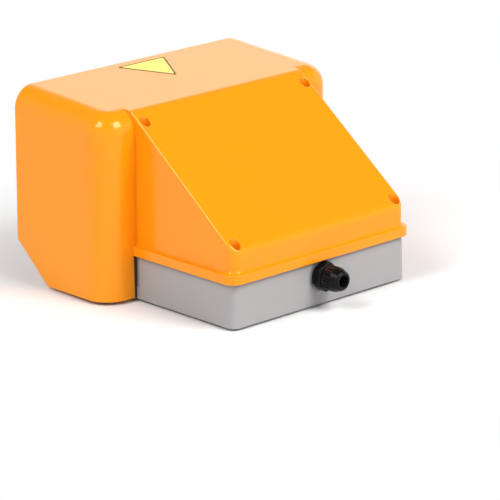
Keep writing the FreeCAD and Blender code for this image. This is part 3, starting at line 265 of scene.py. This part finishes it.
def grain_group():
    """Moulded plastic: cloudy colour, a fine grain and slightly paler, rougher edges, which are wear and
    on some materials also a painted highlight.
    """
    group, given, result = new_group("moulded grain", (
        ("Colour", "NodeSocketColor", (0.5, 0.5, 0.5, 1.0)),
        ("Clouding", "NodeSocketFloat", 0.03),
        ("Grain Scale", "NodeSocketFloat", 2200.0),
        ("Grain Depth", "NodeSocketFloat", 0.00002),
        ("Roughness", "NodeSocketFloat", 0.4),
        ("Edge Width", "NodeSocketFloat", 0.0006),
        ("Edge Colour", "NodeSocketColor", (0.8, 0.8, 0.8, 1.0)),
        ("Edge Amount", "NodeSocketFloat", 0.3),
    ), FINISH_OUTPUTS)
    place = group.nodes.new("ShaderNodeTexCoord").outputs["Object"]

    # The colour's cloudiness.
    cloud = number(group, "SUBTRACT", noise(group, scale=22.0, detail=3.0, vector=place), 0.5)
    tinted = group.nodes.new("ShaderNodeHueSaturation")
    group.links.new(given.outputs["Colour"], tinted.inputs["Color"])
    group.links.new(number(group, "MULTIPLY_ADD", cloud, given.outputs["Clouding"], 1.0),
                    tinted.inputs["Value"])

    # Edges are where the rounded surface turns away from the real one, in patches. Their paler colour is
    # wear, and on the hood and the gland also a painted highlight.
    rounded = group.nodes.new("ShaderNodeBevel")
    rounded.samples = 4
    group.links.new(given.outputs["Edge Width"], rounded.inputs["Radius"])
    shape = group.nodes.new("ShaderNodeNewGeometry")
    turned = group.nodes.new("ShaderNodeVectorMath")
    turned.operation = "DOT_PRODUCT"
    group.links.new(rounded.outputs["Normal"], turned.inputs[0])
    group.links.new(shape.outputs["Normal"], turned.inputs[1])
    edge = ranged(group, turned.outputs["Value"], start=0.995, end=0.80)
    patches = ranged(group, noise(group, scale=160.0, detail=4.0, vector=place), start=0.35, end=0.65)
    wear_and_highlight = number(group, "MULTIPLY", number(group, "MULTIPLY", edge, patches),
                  given.outputs["Edge Amount"], clamp=True)
    group.links.new(mixed_colour(group, wear_and_highlight, tinted.outputs["Color"], given.outputs["Edge Colour"]),
                    result.inputs["Colour"])

    # The grain stands on the rounded surface. Clouds and wear make it a little more matt.
    grain = noise(group, scale=given.outputs["Grain Scale"], detail=2.0, vector=place)
    grained = bump(group, grain, strength=1.0, distance=given.outputs["Grain Depth"],
                   normal=rounded.outputs["Normal"])
    group.links.new(grained, result.inputs["Normal"])
    clouded = number(group, "MULTIPLY_ADD", cloud, MATT_FROM_CLOUDS, given.outputs["Roughness"])
    group.links.new(number(group, "MULTIPLY_ADD", wear_and_highlight, MATT_FROM_WEAR, clouded, clamp=True),
                    result.inputs["Roughness"])
    return group


moulded_grain = grain_group()


def finished(name, group, values):
    """A material whose colour, roughness and normal come from a group with these values."""
    material, tree, surface = new_material(name)
    finish = tree.nodes.new("ShaderNodeGroup")
    finish.node_tree = group
    for label, value in values.items():
        finish.inputs[label].default_value = (*value, 1.0) if isinstance(value, tuple) else value
    tree.links.new(finish.outputs["Colour"], surface.inputs["Base Color"])
    tree.links.new(finish.outputs["Roughness"], surface.inputs["Roughness"])
    tree.links.new(finish.outputs["Normal"], surface.inputs["Normal"])
    return material


def moulded(name, colour, edge_colour, **others):
    """A material of moulded plastic or rubber. The grain's other values are given by name."""
    values = {label.replace("_", " ").title(): value for label, value in others.items()}
    return finished(name, moulded_grain, {"Colour": colour, "Edge Colour": edge_colour, **values})


def dress(material, *names):
    """Give CAD nodes their material."""
    for name in names:
        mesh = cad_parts[name].data
        mesh.materials.clear()
        mesh.materials.append(material)


def joint_shade_group():
    """Painted shade: a darker colour close to where another piece meets this one, above a height."""
    group, given, result = new_group("joint painted shade", (
        ("Colour", "NodeSocketColor", (0.5, 0.5, 0.5, 1.0)),
        ("Shade Colour", "NodeSocketColor", (0.05, 0.045, 0.04, 1.0)),
        ("Reach", "NodeSocketFloat", 0.0016),
        ("Amount", "NodeSocketFloat", 0.8),
        ("Lowest Height", "NodeSocketFloat", -1.0),
    ), (("Colour", "NodeSocketColor"),))
    hollow = group.nodes.new("ShaderNodeAmbientOcclusion")
    hollow.samples = 6
    group.links.new(given.outputs["Reach"], hollow.inputs["Distance"])
    closed = ranged(group, hollow.outputs["AO"], start=0.92, end=0.60)
    place = group.nodes.new("ShaderNodeTexCoord")
    height = group.nodes.new("ShaderNodeSeparateXYZ")
    group.links.new(place.outputs["Object"], height.inputs[0])
    above = number(group, "GREATER_THAN", height.outputs["Z"], given.outputs["Lowest Height"])
    share = number(group, "MULTIPLY", number(group, "MULTIPLY", closed, above),
                   given.outputs["Amount"], clamp=True)
    group.links.new(mixed_colour(group, share, given.outputs["Colour"], given.outputs["Shade Colour"]),
                    result.inputs["Colour"])
    return group


painted_joint_shade = joint_shade_group()
NO_LOWEST_HEIGHT = -1.0


def add_painted_joint_shade(material, shade_colour, reach, amount, lowest_height=NO_LOWEST_HEIGHT):
    """Put the painted shade between a moulded material's colour and its surface."""
    tree = material.node_tree
    base_colour = tree.nodes["Principled BSDF"].inputs["Base Color"]
    unshaded_colour = base_colour.links[0].from_socket
    joint_shading = tree.nodes.new("ShaderNodeGroup")
    joint_shading.node_tree = painted_joint_shade
    joint_shading.inputs["Shade Colour"].default_value = (*shade_colour, 1.0)
    joint_shading.inputs["Reach"].default_value = reach
    joint_shading.inputs["Amount"].default_value = amount
    joint_shading.inputs["Lowest Height"].default_value = lowest_height
    tree.links.new(unshaded_colour, joint_shading.inputs["Colour"])
    tree.links.new(joint_shading.outputs["Colour"], base_colour)


grey = moulded("light grey plastic", (0.385, 0.377, 0.379), (0.49, 0.485, 0.49), clouding=0.05,
               grain_scale=1800.0, grain_depth=0.00004, roughness=0.48, edge_amount=0.35)
# Painted shade: darker grey close to where other pieces meet the base, above 12 mm, as under the hood's
# lip.
add_painted_joint_shade(grey, (0.05, 0.045, 0.04), reach=0.0040, amount=0.80, lowest_height=0.012)
dress(grey, "base_housing")

# ---- Rubber feet ----------------------------------------------------------------------------
# Four round pads of black rubber are pressed into recesses under the base. They stand a little
# proud of it, so that the switch doesn't slide when a foot is on the pedal.

foot_rubber = moulded("foot rubber", (0.022, 0.022, 0.024), (0.05, 0.05, 0.05), clouding=0.3,
                      grain_scale=900.0, grain_depth=0.00006, roughness=0.78, edge_amount=0.6)
dress(foot_rubber, "rubber_feet")

# ---- Switch plate ---------------------------------------------------------------------------
# A flat steel plate stands on four standoffs of the base, under four screws, and carries the
# switches. The plate and all the small screws are zinc-plated.

MATT_FROM_STREAKS = 0.25


def plating_group():
    """Plated or turned metal: cloudy tint and fine streaks across it."""
    group, given, result = new_group("plated metal", (
        ("Colour", "NodeSocketColor", (0.6, 0.6, 0.6, 1.0)),
        ("Second Colour", "NodeSocketColor", (0.5, 0.5, 0.5, 1.0)),
        ("Streak Stretch", "NodeSocketFloat", 12.0),
        ("Roughness", "NodeSocketFloat", 0.3),
    ), FINISH_OUTPUTS)
    place = group.nodes.new("ShaderNodeTexCoord").outputs["Object"]
    cloud = noise(group, scale=140.0, detail=4.0, vector=place)
    group.links.new(mixed_colour(group, cloud, given.outputs["Colour"], given.outputs["Second Colour"]),
                    result.inputs["Colour"])
    stretch = group.nodes.new("ShaderNodeCombineXYZ")
    stretch.inputs["Y"].default_value = 1.0
    stretch.inputs["Z"].default_value = 1.0
    group.links.new(given.outputs["Streak Stretch"], stretch.inputs["X"])
    drawn = group.nodes.new("ShaderNodeVectorMath")
    drawn.operation = "MULTIPLY"
    group.links.new(place, drawn.inputs[0])
    group.links.new(stretch.outputs["Vector"], drawn.inputs[1])
    streaks = noise(group, scale=320.0, detail=3.0, vector=drawn.outputs["Vector"])
    streaked = number(group, "MULTIPLY_ADD", streaks, MATT_FROM_STREAKS, given.outputs["Roughness"])
    group.links.new(streaked, result.inputs["Roughness"])
    group.links.new(bump(group, streaks, strength=0.5, distance=0.00001), result.inputs["Normal"])
    return group


plated_metal = plating_group()


def plated(name, colour, second_colour, roughness, stretch=12.0):
    """A metal material with the plating's values."""
    material = finished(name, plated_metal, {
        "Colour": colour, "Second Colour": second_colour,
        "Streak Stretch": stretch, "Roughness": roughness,
    })
    material.node_tree.nodes["Principled BSDF"].inputs["Metallic"].default_value = 1.0
    return material


zinc = plated("zinc-plated steel", (0.62, 0.62, 0.60), (0.50, 0.52, 0.55), 0.22)
dress(zinc, "switch_plate", "plate_screws")

# ---- Switches -------------------------------------------------------------------------------
# Two limit switches in black thermoset cases are screwed side by side to the plate. Each has a red
# button on top, which the plunger's yoke pushes, and four brass terminals.

thermoset = moulded("black thermoset", (0.035, 0.035, 0.038), (0.09, 0.09, 0.09),
                    clouding=0.15, roughness=0.42, edge_amount=0.5)
button_red = moulded("red button plastic", (0.50, 0.03, 0.025), (0.62, 0.15, 0.12),
                     clouding=0.08, roughness=0.3, edge_amount=0.3)
brass = plated("turned brass", (0.74, 0.53, 0.22), (0.62, 0.42, 0.17), 0.2)
dress(thermoset, "switch_left", "switch_right")
dress(button_red, "button_left", "button_right")
dress(zinc, "switch_screws")
dress(brass, "terminal_screws")

# ---- Earth clamp ----------------------------------------------------------------------------
# A brass tab under a plated screw, on a standoff of its own inside the base. The earth wire is
# clamped between the two.

dress(brass, "earth_clamp")
dress(zinc, "earth_screw")

# ---- Gasket and cover -----------------------------------------------------------------------
# A flat rubber gasket lies on the rim of the box, under a flat black plastic cover held by two
# sunk screws. Two strips of the same rubber fill the slots between the base and the canopy.

gasket_rubber = moulded("gasket rubber", (0.03, 0.03, 0.03), (0.06, 0.06, 0.06),
                        clouding=0.2, roughness=0.7, edge_amount=0.3)
cover_black = moulded("black cover plastic", (0.045, 0.045, 0.048), (0.10, 0.10, 0.10),
                      clouding=0.12, grain_depth=0.00005, roughness=0.55, edge_amount=0.4)
dress(gasket_rubber, "compartment_gasket", "edge_seals")
dress(cover_black, "compartment_cover")
dress(zinc, "cover_screws")

# ---- Plunger --------------------------------------------------------------------------------
# A ground steel pin slides in a brass bushing, which a brass nut clamps to the cover. A rubber seal
# in the bushing's top wipes it. Its plated yoke, screwed on from below, spans both buttons.

steel = plated("ground steel", (0.66, 0.66, 0.67), (0.58, 0.58, 0.60), 0.16, stretch=1.0)
dress(steel, "plunger")
dress(brass, "plunger_bushing", "bushing_nut")
dress(gasket_rubber, "plunger_seal")
dress(zinc, "plunger_yoke", "yoke_screw")

# ---- Cable gland ----------------------------------------------------------------------------
# The gland is moulded in black nylon: a hexagonal body through the rear wall, a fluted cap with a
# domed nose and a nut inside the wall. A rubber washer seals it, and a rubber insert fills the cap.


def set_gloss(material, level):
    """Set how strongly a material mirrors, as its surface's specular level."""
    material.node_tree.nodes["Principled BSDF"].inputs["Specular IOR Level"].default_value = level


# The nylon's paler edge colour is a painted highlight on the gland's edges, flutes and nose ring.
nylon = moulded("black nylon", (0.004, 0.004, 0.005), (0.10, 0.10, 0.105), clouding=0.2,
                grain_scale=2600.0, grain_depth=0.00002, roughness=0.30,
                edge_width=0.0007, edge_amount=1.0)
set_gloss(nylon, 0.12)
insert_rubber = moulded("insert rubber", (0.004, 0.004, 0.004), (0.01, 0.01, 0.01),
                        clouding=0.2, roughness=0.85, edge_amount=0.2)
set_gloss(insert_rubber, 0.1)
dress(nylon, "gland_body", "gland_cap", "gland_locknut")
dress(insert_rubber, "gland_insert", "gland_washer")

# ---- Shaft, bushes and rings ----------------------------------------------------------------
# The pedal's ground steel shaft turns in two flanged bushes of natural-coloured nylon, pushed into
# the deck's cheeks. A ring of dark spring steel at each end holds it in place.

natural_nylon = moulded("natural nylon", (0.66, 0.62, 0.54), (0.75, 0.72, 0.66),
                        clouding=0.08, roughness=0.4, edge_amount=0.3)
spring_steel = plated("spring steel", (0.42, 0.42, 0.43), (0.33, 0.33, 0.36), 0.28, stretch=1.0)
dress(steel, "pedal_shaft")
dress(natural_nylon, "shaft_bushes")
dress(spring_steel, "shaft_rings")

# ---- Stops, buffers and return spring -------------------------------------------------------
# Rubber caps on the deck's two posts stop the pedal's return, and two rubber buffers on the cover
# end its travel. A coil spring on a peg of the deck pushes it up.

dress(foot_rubber, "rest_stops", "pedal_buffers")
dress(spring_steel, "return_spring")

# ---- Pedal and tread ------------------------------------------------------------------------
# The pedal is a plate moulded in black glass-filled plastic, with ribs below. A ribbed mat of
# black rubber is bonded on top of it for grip, and is scuffed paler along its ribs.

pedal_black = moulded("black glass-filled plastic", (0.030, 0.030, 0.032), (0.11, 0.11, 0.11),
                      clouding=0.25, grain_scale=1200.0, grain_depth=0.00007, roughness=0.5,
                      edge_amount=0.6)
tread_rubber = moulded("tread rubber", (0.024, 0.024, 0.025), (0.085, 0.083, 0.08),
                       clouding=0.45, grain_scale=800.0, grain_depth=0.00008, roughness=0.72,
                       edge_amount=0.9)
dress(pedal_black, "pedal")
dress(tread_rubber, "pedal_tread")

# ---- Tread pips -----------------------------------------------------------------------------
# Small round rubber pips, moulded in one with the tread, fill the grooves between its ribs. Every
# second row is set half a step aside, and their tops stay below the ribs.

TREAD_SLOPE = math.radians(7.01)
TREAD_FACE = 0.05920
FIRST_GROOVE = -0.08201
GROOVE_PITCH = 0.0090
GROOVES = 15
PIPS_IN_A_ROW = 17
PIP_PITCH = 0.0060
PIP_RADIUS = 0.0015
PIP_HEIGHT = 0.0010
LOWEST_PIP = 0.86
PIP_SEED = 5


def pip_tree():
    """Rows of domed pips on a sloping face, from a grid of points. Returns the tree and its inputs."""
    tree = bpy.data.node_groups.new("tread pips", "GeometryNodeTree")
    named = {}
    for label, kind in (
        ("Rows", "NodeSocketInt"), ("Pips in a Row", "NodeSocketInt"), ("Row Pitch", "NodeSocketFloat"),
        ("Pip Pitch", "NodeSocketFloat"), ("Pip Radius", "NodeSocketFloat"),
        ("Pip Height", "NodeSocketFloat"), ("Turn", "NodeSocketVector"),
        ("Middle", "NodeSocketVector"), ("Seed", "NodeSocketInt"), ("Rubber", "NodeSocketMaterial"),
    ):
        named[label] = tree.interface.new_socket(label, in_out="INPUT", socket_type=kind).identifier
    tree.interface.new_socket("Pips", in_out="OUTPUT", socket_type="NodeSocketGeometry")
    nodes = tree.nodes
    links = tree.links
    given = nodes.new("NodeGroupInput")
    result = nodes.new("NodeGroupOutput")

    # A grid of points, with every second row set half a step aside.
    grid = nodes.new("GeometryNodeMeshGrid")
    links.new(given.outputs["Pips in a Row"], grid.inputs["Vertices X"])
    links.new(given.outputs["Rows"], grid.inputs["Vertices Y"])
    links.new(number(tree, "MULTIPLY", given.outputs["Pip Pitch"],
                     number(tree, "SUBTRACT", given.outputs["Pips in a Row"], 1)), grid.inputs["Size X"])
    links.new(number(tree, "MULTIPLY", given.outputs["Row Pitch"],
                     number(tree, "SUBTRACT", given.outputs["Rows"], 1)), grid.inputs["Size Y"])
    index = nodes.new("GeometryNodeInputIndex")
    row = number(tree, "MODULO", index.outputs[0], given.outputs["Rows"])
    aside = number(tree, "MULTIPLY", number(tree, "SUBTRACT", number(tree, "MODULO", row, 2), 0.5),
                   number(tree, "MULTIPLY", given.outputs["Pip Pitch"], 0.5))
    shift = nodes.new("ShaderNodeCombineXYZ")
    links.new(aside, shift.inputs["X"])
    staggered = nodes.new("GeometryNodeSetPosition")
    links.new(grid.outputs["Mesh"], staggered.inputs["Geometry"])
    links.new(shift.outputs["Vector"], staggered.inputs["Offset"])

    # A flattened ball on each point, some of them worn a little lower.
    dome = nodes.new("GeometryNodeMeshUVSphere")
    dome.inputs["Segments"].default_value = 12
    dome.inputs["Rings"].default_value = 8
    links.new(given.outputs["Pip Radius"], dome.inputs["Radius"])
    worn = nodes.new("FunctionNodeRandomValue")
    worn.data_type = "FLOAT"
    worn.inputs[2].default_value = LOWEST_PIP
    worn.inputs[3].default_value = 1.0
    links.new(given.outputs["Seed"], worn.inputs["Seed"])
    flattened = nodes.new("ShaderNodeCombineXYZ")
    flattened.inputs["X"].default_value = 1.0
    flattened.inputs["Y"].default_value = 1.0
    links.new(number(tree, "MULTIPLY", worn.outputs[1],
                     number(tree, "DIVIDE", given.outputs["Pip Height"], given.outputs["Pip Radius"])),
              flattened.inputs["Z"])
    pips = nodes.new("GeometryNodeInstanceOnPoints")
    links.new(staggered.outputs["Geometry"], pips.inputs["Points"])
    links.new(dome.outputs["Mesh"], pips.inputs["Instance"])
    links.new(flattened.outputs["Vector"], pips.inputs["Scale"])

    # The rows are turned to the tread's slope and moved onto its face.
    laid = nodes.new("GeometryNodeTransform")
    links.new(pips.outputs["Instances"], laid.inputs["Geometry"])
    links.new(given.outputs["Turn"], laid.inputs["Rotation"])
    links.new(given.outputs["Middle"], laid.inputs["Translation"])
    solid = nodes.new("GeometryNodeRealizeInstances")
    links.new(laid.outputs["Geometry"], solid.inputs["Geometry"])
    smooth = nodes.new("GeometryNodeSetShadeSmooth")
    links.new(solid.outputs["Geometry"], smooth.inputs["Geometry"])
    finish = nodes.new("GeometryNodeSetMaterial")
    links.new(smooth.outputs["Geometry"], finish.inputs["Geometry"])
    links.new(given.outputs["Rubber"], finish.inputs["Material"])
    links.new(finish.outputs["Geometry"], result.inputs["Pips"])
    return tree, named


pips_tree, pips_input = pip_tree()
tread_pips = bpy.data.objects.new("tread_pips", bpy.data.meshes.new("tread_pips"))
bpy.context.scene.collection.objects.link(tread_pips)
along_tread = Vector((0, math.cos(TREAD_SLOPE), math.sin(TREAD_SLOPE)))
off_tread = Vector((0, -math.sin(TREAD_SLOPE), math.cos(TREAD_SLOPE)))
middle_groove = FIRST_GROOVE + GROOVE_PITCH * (GROOVES - 1) / 2
grown = tread_pips.modifiers.new("pips", "NODES")
grown.node_group = pips_tree
for label, value in (
    ("Rows", GROOVES), ("Pips in a Row", PIPS_IN_A_ROW), ("Row Pitch", GROOVE_PITCH),
    ("Pip Pitch", PIP_PITCH), ("Pip Radius", PIP_RADIUS), ("Pip Height", PIP_HEIGHT),
    ("Turn", (TREAD_SLOPE, 0.0, 0.0)), ("Middle", off_tread * TREAD_FACE + along_tread * middle_groove),
    ("Seed", PIP_SEED), ("Rubber", tread_rubber),
):
    grown[pips_input[label]] = value
evaluated_pips = tread_pips.evaluated_get(bpy.context.evaluated_depsgraph_get())
pips_mesh = bpy.data.meshes.new_from_object(evaluated_pips)
tread_pips.modifiers.clear()
tread_pips.data = pips_mesh
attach(tread_pips, "pedal")

# ---- Hood -----------------------------------------------------------------------------------
# The hood is one thick orange moulding, glossy from a polished mould: the canopy over the foot,
# the sloped cover behind it and the lip that overlaps the base. Four screws at the bottom of deep
# wells and two from under the deck hold it.

# The pale yellow edge colour is a painted highlight along the hood's rounded edges, as well as wear.
hood_orange = moulded("orange hood plastic", (0.98, 0.315, 0.003), (1.0, 0.62, 0.12),
                      clouding=0.02, grain_scale=2400.0, grain_depth=0.000006, roughness=0.17,
                      edge_width=0.0008, edge_amount=0.3)
# Painted shade: a deeper orange close to where the hood meets other pieces and in its inner corners.
add_painted_joint_shade(hood_orange, (0.82, 0.17, 0.001), reach=0.0025, amount=0.20)
set_gloss(hood_orange, 0.64)
hood_surface = hood_orange.node_tree.nodes["Principled BSDF"]
hood_surface.inputs["Specular Tint"].default_value = (1.0, 0.8, 0.5, 1.0)
dress(hood_orange, "hood")
dress(zinc, "hood_screws", "hood_side_screws")

# ---- Yellow triangle ------------------------------------------------------------------------
# A triangle of yellow vinyl film with a thin dark rim. It is die-cut, with small round corners,
# and stuck on the crown near the front.

SIDE = 0.050
FILM = 0.00018
RIM = 0.0014
CORNER = 0.0012
CUT_EDGE = 0.00008
CORNER_STEPS = 8
YELLOW_SLOT = 1
CROWN_FRONT, CROWN_FRONT_HEIGHT = -0.12015, 0.1568
CROWN_REAR, CROWN_REAR_HEIGHT = -0.01355, 0.1500
CROWN_FALL = (CROWN_REAR_HEIGHT - CROWN_FRONT_HEIGHT) / (CROWN_REAR - CROWN_FRONT)
BASE_MIDDLE = Vector((-0.0018, -0.1119, 0.0))


def on_crown(x, y, lift):
    """The point of the hood's crown at x and y, lifted off it by a little."""
    return Vector((x, y, CROWN_FRONT_HEIGHT + CROWN_FALL * (y - CROWN_FRONT) + lift))


def triangle_outline(inset):
    """The rounded outline of the triangle, drawn in by an inset all round, as points in x and y."""
    height = SIDE * math.sqrt(3) / 2
    centre = BASE_MIDDLE + Vector((0, height / 3, 0))
    reach = 2 * (height / 3 - inset) - 2 * CORNER
    points = []
    for corner in range(3):
        turn = math.radians(90 + 120 * corner)
        hub = centre + Vector((math.cos(turn), math.sin(turn), 0)) * reach
        for step in range(CORNER_STEPS + 1):
            angle = turn + math.radians(-60 + 120 / CORNER_STEPS * step)
            points.append(hub + Vector((math.cos(angle), math.sin(angle), 0)) * CORNER)
    return points


film = bmesh.new()
rings = []
for inset, lift in ((0.0, 0.0), (0.0, FILM * 0.6), (CUT_EDGE, FILM), (RIM, FILM)):
    rings.append([film.verts.new(on_crown(point.x, point.y, lift)) for point in triangle_outline(inset)])
for low, high in zip(rings, rings[1:]):
    for first in range(len(low)):
        second = (first + 1) % len(low)
        film.faces.new((low[first], low[second], high[second], high[first]))
film.faces.new(rings[-1]).material_index = YELLOW_SLOT
film.faces.new(list(reversed(rings[0])))
film_mesh = bpy.data.meshes.new("yellow_triangle")
film.to_mesh(film_mesh)
film.free()
triangle = bpy.data.objects.new("yellow_triangle", film_mesh)
bpy.context.scene.collection.objects.link(triangle)
rim_print = moulded("dark printed rim", (0.115, 0.085, 0.035), (0.15, 0.12, 0.06),
                    clouding=0.2, roughness=0.42, edge_amount=0.2, edge_width=0.0002)
set_gloss(rim_print, 0.03)
yellow_vinyl = moulded("yellow vinyl", (0.90, 0.80, 0.16), (0.93, 0.86, 0.35),
                       clouding=0.05, roughness=0.38, grain_scale=900.0, edge_width=0.0002)
set_gloss(yellow_vinyl, 0.2)
film_mesh.materials.append(rim_print)
film_mesh.materials.append(yellow_vinyl)
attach(triangle, "root")
